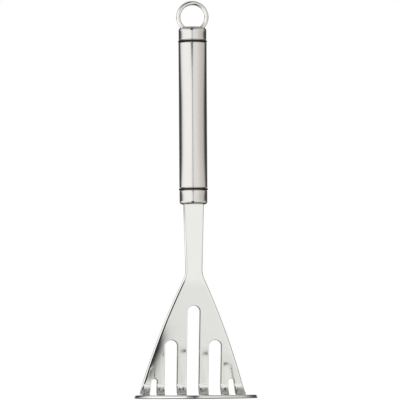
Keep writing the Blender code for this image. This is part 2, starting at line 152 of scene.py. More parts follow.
class MasherHandleSizes(bpy.types.PropertyGroup):
    """Sizes of tube, caps, rings and loop"""

    tube_diameter: length("Tube", "Outside diameter", extent("handle_tube", 0))
    tube_wall: length("Tube wall", "Wall of the tube", 0.0012)
    tube_edge: length("Tube edge", "Rounding of the tube's ends", 0.00025)
    cap_diameter: length("Caps", "Outside diameter", extent("upper_cap", 0))
    cap_wall: length("Cap wall", "Wall of the caps' spigots", 0.0012)
    cap_end_wall: length("Cap end", "Thickness of the caps' end walls", 0.0015)
    lower_corner: length("Lower corner", "Rounding of the lower cap", 0.0022)
    upper_corner: length("Upper corner", "Rounding of the upper cap", 0.0028)
    spigot_length: length("Spigot", "How far the caps reach into the tube", 0.012)
    ring_section: length("O-ring section", "Cord thickness", extent("upper_o_ring", 2))
    ring_diameter: length("O-ring", "Outside diameter", extent("upper_o_ring", 0))
    wire: length("Loop wire", "Wire thickness", extent("hanging_loop", 1))
    loop_diameter: length("Loop", "Outside diameter", extent("hanging_loop", 0))
    hole_gap: length("Hole gap", "Gap round the wire where it enters the cap", 0.00006)


class MasherColours(bpy.types.PropertyGroup):
    """Colours of the finishes"""

    polished: colour("Polished steel", "Blade", (0.925, 0.925, 0.91))
    satin: colour("Satin steel", "Tube and caps", (0.78, 0.775, 0.76))
    wire: colour("Wire steel", "Hanging loop", (0.88, 0.875, 0.86))
    rubber: colour("Rubber", "O-rings", (0.010, 0.010, 0.011))
    nylon: colour("Nylon", "Plug inside the handle", (0.72, 0.71, 0.66))
    floor: colour("Floor", "Studio floor", (0.92, 0.92, 0.92))


# ---------------- node tools


def feed(tree, socket, value):
    """Gives a socket a fixed value, or links it to another socket."""
    if isinstance(value, bpy.types.NodeSocket):
        tree.links.new(value, socket)
    else:
        socket.default_value = value


def ramp(tree, source, stops):
    """A smooth run of colours over a value from 0 to 1."""
    made = tree.nodes.new("ShaderNodeValToRGB")
    elements = made.color_ramp.elements
    elements.remove(elements[1])
    elements[0].position = stops[0][0]
    elements[0].color = (*stops[0][1], 1.0)
    for position, tint in stops[1:]:
        elements.new(position).color = (*tint, 1.0)
    tree.links.new(source, made.inputs["Fac"])
    return made.outputs["Color"]


def maths(tree, operation, *values):
    """A math node fed by sockets or numbers."""
    made = tree.nodes.new("ShaderNodeMath")
    made.operation = operation
    for socket, value in zip(made.inputs, values):
        feed(tree, socket, value)
    return made.outputs["Value"]


def spread(tree, value, start, end, low, high, smooth=False):
    """Maps start to end onto low to high, and holds the ends."""
    made = tree.nodes.new("ShaderNodeMapRange")
    made.interpolation_type = "SMOOTHSTEP" if smooth else "LINEAR"
    for name, number in (("From Min", start), ("From Max", end), ("To Min", low), ("To Max", high)):
        made.inputs[name].default_value = number
    tree.links.new(value, made.inputs["Value"])
    return made.outputs["Result"]


def mixed(tree, blend, share, first, second):
    """A blend of two colours, each a socket or fixed."""
    made = tree.nodes.new("ShaderNodeMix")
    made.data_type = "RGBA"
    made.blend_type = blend
    for name, value in (("Factor", share), ("A", first), ("B", second)):
        feed(tree, made.inputs[name], value)
    return made.outputs["Result"]


# ---------------- materials


# Heights between which the fold's small marks set in, and between which they fade out again.
MARKS_SET_IN = (0.0030, 0.0042)
MARKS_FADE_OUT = (0.0055, 0.0085)


class Finish:
    """A Principled material being built, with helpers for its node chain."""

    def __init__(self, name, base, metallic, roughness):
        self.material = bpy.data.materials.new(name)
        self.material.use_nodes = True
        self.tree = self.material.node_tree
        self.shader = self.tree.nodes["Principled BSDF"]
        self.shader.inputs["Base Color"].default_value = (*base, 1.0)
        self.shader.inputs["Metallic"].default_value = metallic
        self.shader.inputs["Roughness"].default_value = roughness
        self.place = self.tree.nodes.new("ShaderNodeTexCoord").outputs["Object"]
        self.height = None

    def node(self, kind):
        """A new node of the material."""
        return self.tree.nodes.new(kind)

    def join(self, source, target):
        """Links an output to an input."""
        self.tree.links.new(source, target)

    def noise(self, stretch, detail=2.0, rough=0.5, distortion=0.0):
        """Noise whose cycles per metre along X, Y and Z are given."""
        mapping = self.node("ShaderNodeMapping")
        mapping.inputs["Scale"].default_value = stretch
        self.join(self.place, mapping.inputs["Vector"])
        noise = self.node("ShaderNodeTexNoise")
        noise.inputs["Scale"].default_value = 1.0
        noise.inputs["Detail"].default_value = detail
        noise.inputs["Roughness"].default_value = rough
        noise.inputs["Distortion"].default_value = distortion
        self.join(mapping.outputs["Vector"], noise.inputs["Vector"])
        return noise.outputs["Fac"]

    def spread(self, value, low, high, start=0.3, end=0.7):
        """Maps a pattern's start to end onto low to high."""
        return spread(self.tree, value, start, end, low, high)

    def times(self, first, second):
        """Product of two patterns."""
        return maths(self.tree, "MULTIPLY", first, second)

    def roughness(self, value):
        """Lets a pattern set the roughness."""
        self.join(value, self.shader.inputs["Roughness"])

    def tint(self, value, dark, light):
        """Base colour that runs from dark to light with a pattern."""
        colours = ramp(self.tree, value, [(0.0, dark), (1.0, light)])
        self.join(colours, self.shader.inputs["Base Color"])

    def relief(self, value, depth, strength):
        """Adds a bump of this depth, in metres, on top of any before it."""
        bump = self.node("ShaderNodeBump")
        bump.inputs["Strength"].default_value = strength
        bump.inputs["Distance"].default_value = depth
        self.join(value, bump.inputs["Height"])
        if self.height:
            self.join(self.height, bump.inputs["Normal"])
        self.height = bump.outputs["Normal"]
        self.join(self.height, self.shader.inputs["Normal"])


def shade_of(base, factor):
    """A colour made darker or lighter by a factor, kept under 1."""
    return tuple(min(1.0, channel * factor) for channel in base)


def polished_finish(base):
    """Buffed sheet: nearly a mirror, with faint waves, fine lines along it and marks in the fold."""
    finish = Finish("polished sheet steel", base, 1.0, 0.06)
    smudge = finish.noise((45.0, 45.0, 45.0), detail=4.0, rough=0.6)
    lines = finish.noise((3200.0, 90.0, 90.0), detail=3.0, rough=0.6)
    finish.roughness(finish.spread(finish.times(smudge, lines), 0.045, 0.11, 0.10, 0.42))
    finish.tint(smudge, shade_of(base, 0.97), shade_of(base, 1.02))
    finish.relief(finish.noise((38.0, 38.0, 26.0), detail=1.0), 0.00012, 0.35)
    finish.relief(lines, 0.0000012, 0.6)
    split = finish.node("ShaderNodeSeparateXYZ")
    finish.join(finish.place, split.inputs["Vector"])
    above_foot = finish.spread(split.outputs["Z"], 0.0, 1.0, *MARKS_SET_IN)
    below_fan = finish.spread(split.outputs["Z"], 1.0, 0.0, *MARKS_FADE_OUT)
    marks = finish.noise((480.0, 480.0, 480.0), detail=2.0)
    in_fold = finish.times(above_foot, below_fan)
    finish.relief(finish.times(marks, in_fold), 0.0003, 1.0)
    return finish.material


def satin_finish(name, base, lines_per_metre, depth, roughness):
    """Steel brushed round its axis: fine rings of scratches of mixed length."""
    finish = Finish(name, base, 1.0, roughness)
    rings = finish.noise((70.0, 70.0, lines_per_metre), detail=4.0, rough=0.65)
    wear = finish.noise((60.0, 60.0, 38.0), detail=3.0)
    finish.roughness(finish.spread(wear, roughness * 0.82, roughness * 1.2))
    finish.tint(rings, shade_of(base, 0.955), shade_of(base, 1.03))
    finish.relief(rings, depth, 0.8)
    return finish.material


def wire_finish(base):
    """Bright drawn wire with fine draw marks and a slightly uneven surface."""
    finish = Finish("bright wire steel", base, 1.0, 0.10)
    marks = finish.noise((420.0, 2600.0, 420.0), detail=3.0, rough=0.6)
    finish.roughness(finish.spread(marks, 0.07, 0.17))
    finish.tint(marks, shade_of(base, 0.96), shade_of(base, 1.02))
    finish.relief(marks, 0.0000025, 0.6)
    return finish.material


def rubber_finish(base):
    """Matte black rubber with a moulded grain and a little dust."""
    finish = Finish("black rubber", base, 0.0, 0.5)
    grain = finish.noise((5200.0, 5200.0, 5200.0), detail=2.0)
    dust = finish.noise((700.0, 700.0, 700.0), detail=4.0, rough=0.7)
    finish.roughness(finish.spread(grain, 0.42, 0.62))
    finish.tint(dust, shade_of(base, 0.8), shade_of(base, 1.6))
    finish.relief(grain, 0.000008, 0.5)
    finish.shader.inputs["Specular IOR Level"].default_value = 0.35
    return finish.material


def nylon_finish(base):
    """Natural moulded nylon with flow marks."""
    finish = Finish("natural nylon", base, 0.0, 0.48)
    flow = finish.noise((240.0, 240.0, 90.0), detail=3.0, distortion=0.6)
    finish.roughness(finish.spread(flow, 0.40, 0.58))
    finish.tint(flow, shade_of(base, 0.92), shade_of(base, 1.05))
    finish.relief(finish.noise((3000.0, 3000.0, 3000.0)), 0.00001, 0.4)
    return finish.material


def finish_named(name):
    """The material of that name, made the first time it is asked for."""
    if name in bpy.data.materials:
        return bpy.data.materials[name]
    colours = bpy.context.scene.masher_colours
    makers = {
        "polished sheet steel": lambda: polished_finish(colours.polished),
        "satin tube steel": lambda: satin_finish(name, colours.satin, 5200.0, 0.0000022, 0.13),
        "satin cap steel": lambda: satin_finish(name, colours.satin, 3600.0, 0.0000040, 0.15),
        "bright wire steel": lambda: wire_finish(colours.wire),
        "black rubber": lambda: rubber_finish(colours.rubber),
        "natural nylon": lambda: nylon_finish(colours.nylon),
    }
    return makers[name]()


# ---------------- general tools


TURN_STEPS = 160
RING_STEPS = 144
SECTION_STEPS = 28
CORNER_STEPS = 10
EDGE_STEPS = 4
MERGE_DISTANCE = 0.000001
SHARP_ANGLE = math.radians(32.0)


def link(name, data):
    """Adds an object with this data to the scene."""
    made = bpy.data.objects.new(name, data)
    bpy.context.scene.collection.objects.link(made)
    return made


def settle(piece, node, material_name):
    """Gives a piece its finish and its body, and hides the frame node that it stands for."""
    piece.data.materials.clear()
    piece.data.materials.append(finish_named(material_name))
    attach(piece, BODY)
    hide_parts(node)


def applied(piece):
    """Swaps a piece's modifiers for the mesh that they make."""
    depsgraph = bpy.context.evaluated_depsgraph_get()
    mesh = bpy.data.meshes.new_from_object(piece.evaluated_get(depsgraph))
    piece.modifiers.clear()
    piece.data = mesh
    return piece


def smooth_but_sharp(mesh):
    """Shades a mesh smooth, but keeps its clear edges."""
    mesh.shade_smooth()
    mesh.set_sharp_from_angle(angle=SHARP_ANGLE)


def turned(name, profile, closed=False):
    """A round piece about the handle's axis, from (radius, height) points."""
    mesh = bpy.data.meshes.new(name)
    points = [(radius, 0.0, height) for radius, height in profile]
    edges = [(i, i + 1) for i in range(len(points) - 1)]
    if closed:
        edges.append((len(points) - 1, 0))
    mesh.from_pydata(points, edges, [])
    piece = link(name, mesh)
    screw = piece.modifiers.new("turn", "SCREW")
    screw.steps = screw.render_steps = TURN_STEPS
    screw.use_merge_vertices = True
    screw.merge_threshold = MERGE_DISTANCE
    applied(piece)
    piece.data.transform(Matrix.Translation((0.0, HANDLE_Y, 0.0)))
    smooth_but_sharp(piece.data)
    return piece


def quarter(radius, height, corner, start, steps=CORNER_STEPS):
    """Quarter turn of a rounded corner, as (radius, height) points."""
    angles = [start - math.pi / 2 * i / steps for i in range(steps + 1)]
    return [(radius + corner * math.cos(a), height + corner * math.sin(a)) for a in angles]


def torus(name, mid_radius, section, height, upright):
    """A ring of round section on the handle's axis, flat or standing in the blade's plane."""
    bpy.ops.mesh.primitive_torus_add(
        major_radius=mid_radius,
        minor_radius=section / 2,
        major_segments=RING_STEPS,
        minor_segments=SECTION_STEPS,
    )
    piece = bpy.context.object
    piece.name = name
    if upright:
        piece.data.transform(Matrix.Rotation(math.pi / 2, 4, "X"))
    piece.data.transform(Matrix.Translation((0.0, HANDLE_Y, height)))
    piece.data.shade_smooth()
    return piece


def cut_away(piece, cutter):
    """Cuts one closed shape out of another and removes the cutter."""
    boolean = piece.modifiers.new("cut", "BOOLEAN")
    boolean.operation = "DIFFERENCE"
    boolean.solver = "EXACT"
    boolean.object = cutter
    applied(piece)
    bpy.data.objects.remove(cutter, do_unlink=True)
    smooth_but_sharp(piece.data)


# ---------------- the bent sheet


# How finely the sheet's curves are split.
RIM_STEP = math.radians(2.0)
CORNER_STEP = math.radians(7.0)
FAN_EDGE_STEPS = 18
FOLD_STEPS = 40
NECK_STEPS = 12
CROWN_RINGS = 4
ROUND_RINGS = 9
# Corners of the flat sheet.
RIM_CORNER = 0.0012
FAN_CORNER = 0.0024
TANG_CORNER = 0.0024
# Corners of a narrow slot: at its front, where it passes the fold, and at its top.
NARROW_INNER_CORNER = 0.0012
NARROW_OUTER_CORNER = 0.0030
NARROW_FOLD_CORNER = 0.0400
NARROW_TOP_SHARE = 0.9
# The gap left round pieces that fit into one another.
FIT_GAP = 0.0003
# The edge of the pin's hole is this much as wide as a slot's.
PIN_HOLE_SHARE = 0.1
# A sharp corner of an outline moves at most 1 / this times as far as the edges beside it.
MITRE_LIMIT = 0.3
# The curl grows with this power of the nearness to the edge. It is split into squares of this
# size, and its slope is measured over this distance.
CURL_POWER = 5
CURL_STEP = 0.002
CURL_PROBE = 0.00005


class SheetPath:
    """Middle line of the sheet in the side view: straight runs and bends, as (length, turn)."""

    def __init__(self, size):
        self.size = size
        half = size.thickness / 2
        fold_radius = size.fold_inner_radius + half
        fold_turn = math.pi / 2 + size.lean
        self.foot_radius = size.foot_diameter / 2
        self.foot_run = self.foot_radius + size.fold_offset
        self.half_fold = math.sqrt(self.foot_radius**2 - size.fold_offset**2)
        self.fold_run = fold_radius * fold_turn
        self.fan_bottom = half + fold_radius * (1 - math.cos(fold_turn))
        self.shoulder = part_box("lower_cap")[0][2] + size.shoulder_depth
        bend_rise = size.neck_bend_radius * math.sin(size.lean)
        fan_rise = self.shoulder - size.neck_upright - bend_rise - self.fan_bottom
        self.runs = [
            (self.foot_run, 0.0),
            (self.fold_run, fold_turn),
            (fan_rise / math.cos(size.lean), 0.0),
            (size.neck_bend_radius * size.lean, -size.lean),
            (size.neck_upright + size.tang_length, 0.0),
        ]
        self.shoulder_run = sum(run for run, turn in self.runs) - size.tang_length
        self.front = -(self.foot_run + size.fold_inner_radius + size.thickness) / 2

    def at(self, distance):
        """Y, Z and direction of the line, this far from the foot's front rim."""
        y, z, angle = self.front, self.size.thickness / 2, 0.0
        for run, turn in self.runs:
            step = min(distance, run)
            if turn:
                radius = run / turn
                new_angle = angle + step / radius
                y += radius * (math.sin(new_angle) - math.sin(angle))
                z += radius * (math.cos(angle) - math.cos(new_angle))
                angle = new_angle
            else:
                y += step * math.cos(angle)
                z += step * math.sin(angle)
            distance -= step
            if distance <= 0:
                break
        return y, z, angle

    def fan_run_at(self, height):
        """Distance at which the straight, leaning part has this height."""
        rise = height - self.fan_bottom
        return self.foot_run + self.fold_run + rise / math.cos(self.size.lean)

    def bend_lines(self):
        """Distances at which the bends are split into narrow facets."""
        lines, start = [], 0.0
        for run, turn in self.runs:
            if turn:
                steps = FOLD_STEPS if turn > 0 else NECK_STEPS
                lines += [start + run * i / steps for i in range(steps + 1)]
            start += run
        return lines


def unit(angle):
    """Direction of an angle in the flat sheet."""
    return Vector((math.cos(angle), math.sin(angle)))


def arc_points(centre, radius, start, end, step):
    """Points of an arc, both ends included."""
    count = max(1, math.ceil(abs(end - start) / step))
    return [centre + unit(start + (end - start) * i / count) * radius for i in range(count + 1)]


def bowed_points(start, end, radius, count):
    """Points between two ends, on the arc that bulges to the right of start to end."""
    chord = end - start
    half = chord.length / 2
    side = Vector((chord.y, -chord.x)).normalized()
    centre = (start + end) / 2 - side * math.sqrt(radius**2 - half**2)
    first = math.atan2(start.y - centre.y, start.x - centre.x)
    spread = 2 * math.asin(half / radius)
    return [centre + unit(first + spread * i / count) * radius for i in range(1, count)]


def rounded(corners):
    """A closed outline from (point, radius) corners, each rounded to its radius."""
    outline = []
    for i, (corner, radius) in enumerate(corners):
        if not radius:
            outline.append(corner)
            continue
        before = (corners[i - 1][0] - corner).normalized()
        after = (corners[(i + 1) % len(corners)][0] - corner).normalized()
        half = before.angle(after) / 2
        centre = corner + (before + after).normalized() * radius / math.sin(half)
        first = corner + before * radius / math.tan(half) - centre
        turn = first.angle_signed(corner + after * radius / math.tan(half) - centre)
        count = max(3, math.ceil(abs(turn) / CORNER_STEP))
        start = math.atan2(first.y, first.x)
        outline += [centre + unit(start - turn * k / count) * radius for k in range(count + 1)]
    return outline


def signed_area(outline):
    """Twice an outline's area, positive if it runs anticlockwise."""
    return sum(a.cross(b) for a, b in zip(outline, outline[1:] + outline[:1]))


def sideways(outline, i):
    """Direction to the right of an outline at one of its points."""
    before = (outline[i] - outline[i - 1]).normalized()
    after = (outline[(i + 1) % len(outline)] - outline[i]).normalized()
    return Vector((before.y + after.y, -before.x - after.x)).normalized()


def grown(outline, amount):
    """The outline moved outwards by amount, or inwards where amount is negative."""
    amount = math.copysign(amount, amount * signed_area(outline))
    moved = []
    for i, point in enumerate(outline):
        after = (outline[(i + 1) % len(outline)] - point).normalized()
        normal = sideways(outline, i)
        reach = amount / max(MITRE_LIMIT, normal.dot(Vector((after.y, -after.x))))
        moved.append(point + normal * reach)
    return moved


def blade_outline(size, path):
    """Outline of the flat sheet, x across and y along it from the front rim."""
    centre = Vector((0.0, path.foot_radius))
    rim_end = math.asin((size.fold_offset + size.notch_depth) / path.foot_radius)
    rim = arc_points(centre, path.foot_radius, -math.pi / 2, rim_end, RIM_STEP)
    fan_corner = Vector((path.half_fold + size.fan_flare, path.foot_run + size.notch_length))
    waist = Vector((size.waist_width / 2, path.fan_run_at(size.waist_height)))
    side = bowed_points(fan_corner, waist, size.fan_edge_radius, FAN_EDGE_STEPS)
    right = [(point, 0.0) for point in rim[1:-1]]
    right += [(rim[-1], RIM_CORNER), (fan_corner, FAN_CORNER)]
    right += [(point, 0.0) for point in side]
    right += [
        (waist, size.waist_fillet),
        (Vector((size.neck_width / 2, path.shoulder_run)), 0.0),
        (Vector((size.tang_width / 2, path.shoulder_run)), 0.0),
        (Vector((size.tang_width / 2, path.shoulder_run + size.tang_length)), TANG_CORNER),
    ]
    left = [(Vector((-point.x, point.y)), radius) for point, radius in reversed(right)]
    return rounded([(rim[0], 0.0)] + right + left)


def wide_slot(size, path, x, top_height):
    """Outline of one wide slot, round at both ends."""
    radius = size.slot_width / 2
    reach = path.foot_radius - size.slot_rim - radius
    front = Vector((x, path.foot_radius - math.sqrt(reach**2 - x**2)))
    back = Vector((x, path.fan_run_at(top_height) - radius))
    end = arc_points(front, radius, -math.pi, 0.0, CORNER_STEP)
    return end + arc_points(back, radius, 0.0, math.pi, CORNER_STEP)


def narrow_slot(size, path, inner_x, side):
    """Outline of a narrow slot: its front end follows the rim, and its top leans inwards."""
    outer_x = inner_x + size.outer_slot_width
    reach = path.foot_radius - size.outer_slot_rim
    fronts = [path.foot_radius - math.sqrt(reach**2 - x**2) for x in (inner_x, outer_x)]
    top = path.fan_run_at(size.outer_slot_height)
    top_x = inner_x + size.outer_slot_width / 2 - size.outer_slot_inset
    half_top = size.outer_slot_top / 2
    top_corner = half_top * NARROW_TOP_SHARE
    corners = [
        (Vector((inner_x, fronts[0])), NARROW_INNER_CORNER),
        (Vector((outer_x, fronts[1])), NARROW_OUTER_CORNER),
        (Vector((outer_x, path.foot_run)), NARROW_FOLD_CORNER),
        (Vector((top_x + half_top, top)), top_corner),
        (Vector((top_x - half_top, top)), top_corner),
        (Vector((inner_x, path.foot_run)), NARROW_FOLD_CORNER),
    ]
    return [Vector((side * point.x, point.y)) for point in rounded(corners)]


def slot_outlines(size, path):
    """The five slots of foot and fan."""
    narrow_x = path.half_fold - size.outer_tine - size.outer_slot_width
    metal = narrow_x - 1.5 * size.slot_width
    pitch = size.slot_width + metal * size.tine_ratio / (1 + size.tine_ratio)
    slots = [wide_slot(size, path, 0.0, size.middle_slot_height)]
    for side in (-1, 1):
        slots.append(wide_slot(size, path, side * pitch, size.side_slot_height))
        slots.append(narrow_slot(size, path, narrow_x, side))
    return slots


def pin_hole(path):
    """The hole through the tang for its pin."""
    hole = Vector((0.0, path.shoulder_run + middle("tang_pin", 2) - path.shoulder))
    hole_radius = extent("tang_pin", 2) / 2 + FIT_GAP
    return arc_points(hole, hole_radius, 0.0, math.tau, CORNER_STEP)[:-1]


def edge_profile(size, edge_round, edge_crown):
    """Rings of a sheet edge from one flat face to the other, as (inset, lift, normal's slope)."""
    rings = []
    lift = size.thickness / 2
    for i in range(CROWN_RINGS + 1):
        share = i / CROWN_RINGS
        inset = edge_round + edge_crown * (1 - share)
        angle = size.crown_angle * share
        rings.append((inset, lift - edge_crown * share * math.tan(angle / 2), angle))
    inset, lift, angle = rings[-1]
    first = math.atan2(size.thickness / 2, edge_round * math.tan(angle))
    width = inset / (1 - math.cos(first))
    height = lift / math.sin(first)
    for i in range(1, ROUND_RINGS + 1):
        turn = first * (1 - i / ROUND_RINGS)
        slope = math.atan2(math.cos(turn) / width, math.sin(turn) / height)
        rings.append((width * (1 - math.cos(turn)), height * math.sin(turn), slope))
    return rings + [(inset, -lift, math.pi - slope) for inset, lift, slope in reversed(rings[:-1])]


def edge_rings(sheet, outline, growth, profile):
    """Rings of an edge round an outline. Growth is 1 for an opening and -1 for the outer rim."""
    normals = sheet.verts.layers.float_vector["flat_normal"]
    out = -math.copysign(1.0, signed_area(outline) * growth)
    rings = []
    for inset, lift, slope in profile:
        ring = []
        for i, point in enumerate(grown(outline, growth * inset)):
            side = sideways(outline, i) * out * math.sin(slope)
            vertex = sheet.verts.new((point.x, point.y, lift))
            vertex[normals] = (side.x, side.y, math.cos(slope))
            ring.append(vertex)
        rings.append(ring)
    for upper, lower in zip(rings, rings[1:]):
        for i in range(len(upper)):
            sheet.faces.new((upper[i - 1], upper[i], lower[i], lower[i - 1]))
    return rings


def flat_blank(size, path):
    """The flat sheet as a bmesh: rings round every edge, both faces filled, exact normals stored."""
    sheet = bmesh.new()
    sheet.verts.layers.float_vector.new("flat_normal")
    rim = edge_profile(size, size.rim_round, size.rim_crown)
    slot_edge = edge_profile(size, size.slot_round, size.slot_crown)
    brims = {0: [], len(rim) - 1: []}
    outlines = [(blade_outline(size, path), -1.0, rim)]
    outlines += [(slot, 1.0, slot_edge) for slot in slot_outlines(size, path)]
    outlines.append((pin_hole(path), PIN_HOLE_SHARE, slot_edge))
    for outline, growth, profile in outlines:
        rings = edge_rings(sheet, outline, growth, profile)
        for level, brim in brims.items():
            ring = rings[level]
            brim += [sheet.edges.get((ring[i - 1], ring[i])) for i in range(len(ring))]
    for brim in brims.values():
        bmesh.ops.triangle_fill(sheet, edges=brim, use_beauty=False, use_dissolve=False)
    bmesh.ops.recalc_face_normals(sheet, faces=sheet.faces)
    return sheet


def eased(value):
    """0 to 1 with soft ends."""
    held = min(1.0, max(0.0, value))
    return held * held * (3 - 2 * held)


def curl(size, path, x, distance):
    """How far the slightly sprung left edge of the fan stands back at a point of the flat sheet."""
    rise = (distance - path.foot_run - path.fold_run) * math.cos(size.lean)
    height = path.fan_bottom + rise
    start = eased((height - size.curl_low) / (size.curl_full_low - size.curl_low))
    end = eased((size.curl_high - height) / (size.curl_high - size.curl_full_high))
    half_fan = path.half_fold + size.fan_flare
    share = (height - path.fan_bottom) / (size.waist_height - path.fan_bottom)
    edge_x = -half_fan + share * (half_fan - size.waist_width / 2)
    nearness = min(1.0, max(0.0, 1 - (x - edge_x) / size.curl_width))
    return size.curl_angle * size.curl_width / CURL_POWER * nearness**CURL_POWER * start * end


def split_lines(size, path):
    """Where the flat sheet is split so that it can bend: each is (place, direction)."""
    lines = [((0, y, 0), (0, 1, 0)) for y in path.bend_lines()]
    top = path.fan_run_at(size.curl_high)
    start = path.foot_run + path.fold_run
    rows = round((top - start) / CURL_STEP)
    lines += [((0, start + (top - start) * i / rows, 0), (0, 1, 0)) for i in range(1, rows + 1)]
    columns = round(path.foot_radius / CURL_STEP)
    lines += [((-i * CURL_STEP, 0, 0), (1, 0, 0)) for i in range(1, columns)]
    return lines


def bend_sheet(sheet, size, path):
    """Splits the flat sheet along its bend lines, bends it and turns its normals with it."""
    normals = sheet.verts.layers.float_vector["flat_normal"]
    for place, direction in split_lines(size, path):
        everything = sheet.verts[:] + sheet.edges[:] + sheet.faces[:]
        bmesh.ops.bisect_plane(
            sheet, geom=everything, dist=MERGE_DISTANCE, plane_co=place, plane_no=direction
        )
    turned_normals = []
    for vertex in sheet.verts:
        x, distance, lift = vertex.co
        y, z, angle = path.at(distance)
        turn = Matrix.Rotation(angle, 3, "X")
        back = curl(size, path, x, distance)
        slope_x = (back - curl(size, path, x + CURL_PROBE, distance)) / CURL_PROBE
        slope_y = (back - curl(size, path, x, distance + CURL_PROBE)) / CURL_PROBE
        flat = vertex[normals]
        tilted = flat + Vector((-slope_x * flat.z, -slope_y * flat.z, slope_x * flat.x))
        turned_normals.append((turn @ tilted).normalized())
        vertex.co = Vector((x, y, z)) + turn @ Vector((0, 0, lift - back))
    mesh = bpy.data.meshes.new("bent_blade")
    sheet.to_mesh(mesh)
    sheet.free()
    mesh.attributes.remove(mesh.attributes["flat_normal"])
    mesh.shade_smooth()
    mesh.normals_split_custom_set_from_vertices(turned_normals)
    return mesh


# ---------------- operators, one a piece


class MASHER_OT_blade(bpy.types.Operator):
    """Bends the slotted sheet into foot, fan, neck and tang"""

    bl_idname = "masher.blade"
    bl_label = "Blade"

    def execute(self, context):
        size = context.scene.masher_blade
        path = SheetPath(size)
        mesh = bend_sheet(flat_blank(size, path), size, path)
        settle(link("bent_blade", mesh), "blade", "polished sheet steel")
        return {"FINISHED"}


class MASHER_OT_tube(bpy.types.Operator):
    """Turns the handle tube, open at both ends with broken edges"""

    bl_idname = "masher.tube"
    bl_label = "Handle tube"

    def execute(self, context):
        size = context.scene.masher_handle
        low, high = (corner[2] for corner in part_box("handle_tube"))
        outer, edge = size.tube_diameter / 2, size.tube_edge
        inner = outer - size.tube_wall
        profile = quarter(outer - edge, high - edge, edge, math.pi / 2, EDGE_STEPS)
        profile += quarter(outer - edge, low + edge, edge, 0.0, EDGE_STEPS)
        profile += [(inner, low), (inner, high)]
        tube = turned("brushed_tube", profile, closed=True)
        settle(tube, "handle_tube", "satin tube steel")
        return {"FINISHED"}


# A cap's rounded corner stops this far short of its flat end.
CAP_END_STEP = 0.0002
TANG_SLOT_GAP = 0.0002
TANG_SLOT_CUT = 0.006


class MASHER_OT_caps(bpy.types.Operator):
    """Turns both end caps and cuts the tang slot and the loop's holes"""

    bl_idname = "masher.caps"
    bl_label = "End caps"

    def execute(self, context):
        size = context.scene.masher_handle
        settle(self.lower_cap(size), "lower_cap", "satin cap steel")
        settle(self.upper_cap(size), "upper_cap", "satin cap steel")
        return {"FINISHED"}

    def spigot(self, size):
        """Outside and inside radius of the part that reaches into the tube."""
        outer = size.tube_diameter / 2 - size.tube_wall - FIT_GAP
        return outer, outer - size.cap_wall

    def lower_cap(self, size):
        """The cap at the blade's end, with the slot that the neck enters."""
        low, high = (corner[2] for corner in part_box("lower_cap"))
        ledge = high - size.spigot_length
        radius, corner, edge = size.cap_diameter / 2, size.lower_corner, size.tube_edge
        outer, inner = self.spigot(size)
        profile = [
            (0.0, low + size.cap_end_wall),
            (inner, low + size.cap_end_wall),
            (inner, high),
            (outer, high),
            (outer, ledge),
        ]
        profile += quarter(radius - edge, ledge - edge, edge, math.pi / 2, EDGE_STEPS)
        profile += quarter(radius - corner, low + corner, corner, 0.0)
        profile += [(radius - corner - CAP_END_STEP, low), (0.0, low)]
        cap = turned("brushed_lower_cap", profile)
        blade = bpy.context.scene.masher_blade
        width = blade.neck_width + TANG_SLOT_GAP
        depth = blade.thickness + TANG_SLOT_GAP
        bpy.ops.mesh.primitive_cube_add(size=1.0, location=(0.0, HANDLE_Y, low))
        slot = bpy.context.object
        slot.data.transform(Matrix.Diagonal((width, depth, TANG_SLOT_CUT, 1.0)))
        cut_away(cap, slot)
        return cap

    def upper_cap(self, size):
        """The cap at the top, with the two holes that the loop dips into."""
        low, high = (corner[2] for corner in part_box("upper_cap"))
        ledge = low + size.spigot_length
        radius, corner, edge = size.cap_diameter / 2, size.upper_corner, size.tube_edge
        outer, inner = self.spigot(size)
        profile = [(0.0, high), (radius - corner - CAP_END_STEP, high)]
        profile += quarter(radius - corner, high - corner, corner, math.pi / 2)
        profile += quarter(radius - edge, ledge + edge, edge, 0.0, EDGE_STEPS)
        profile += [
            (outer, ledge),
            (outer, low),
            (inner, low),
            (inner, high - size.cap_end_wall),
            (0.0, high - size.cap_end_wall),
        ]
        cap = turned("brushed_upper_cap", profile)
        section = size.wire + 2 * size.hole_gap
        mid_radius = (size.loop_diameter - size.wire) / 2
        holes = torus("holes", mid_radius, section, middle("hanging_loop", 2), upright=True)
        cut_away(cap, holes)
        return cap


class MASHER_OT_rings(bpy.types.Operator):
    """Adds the rubber O-rings between tube and caps"""

    bl_idname = "masher.rings"
    bl_label = "O-rings"

    def execute(self, context):
        size = context.scene.masher_handle
        mid_radius = (size.ring_diameter - size.ring_section) / 2
        for node in ("lower_o_ring", "upper_o_ring"):
            height = middle(node, 2)
            ring = torus("rubber_" + node, mid_radius, size.ring_section, height, upright=False)
            settle(ring, node, "black rubber")
        return {"FINISHED"}


class MASHER_OT_loop(bpy.types.Operator):
    """Adds the wire hanging loop"""

    bl_idname = "masher.loop"
    bl_label = "Hanging loop"

    def execute(self, context):
        size = context.scene.masher_handle
        mid_radius = (size.loop_diameter - size.wire) / 2
        loop = torus("wire_loop", mid_radius, size.wire, middle("hanging_loop", 2), upright=True)
        settle(loop, "hanging_loop", "bright wire steel")
        return {"FINISHED"}


class MASHER_OT_inside(bpy.types.Operator):
    """Finishes the plug halves and the pin hidden in the handle"""

    bl_idname = "masher.inside"
    bl_label = "Plug and pin"

    def execute(self, context):
        finishes = {
            "plug_front_half": "natural nylon",
            "plug_rear_half": "natural nylon",
            "tang_pin": "bright wire steel",
        }
        for node, name in finishes.items():
            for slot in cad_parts[node].material_slots:
                slot.material = finish_named(name)
        return {"FINISHED"}


# ---------------- the studio


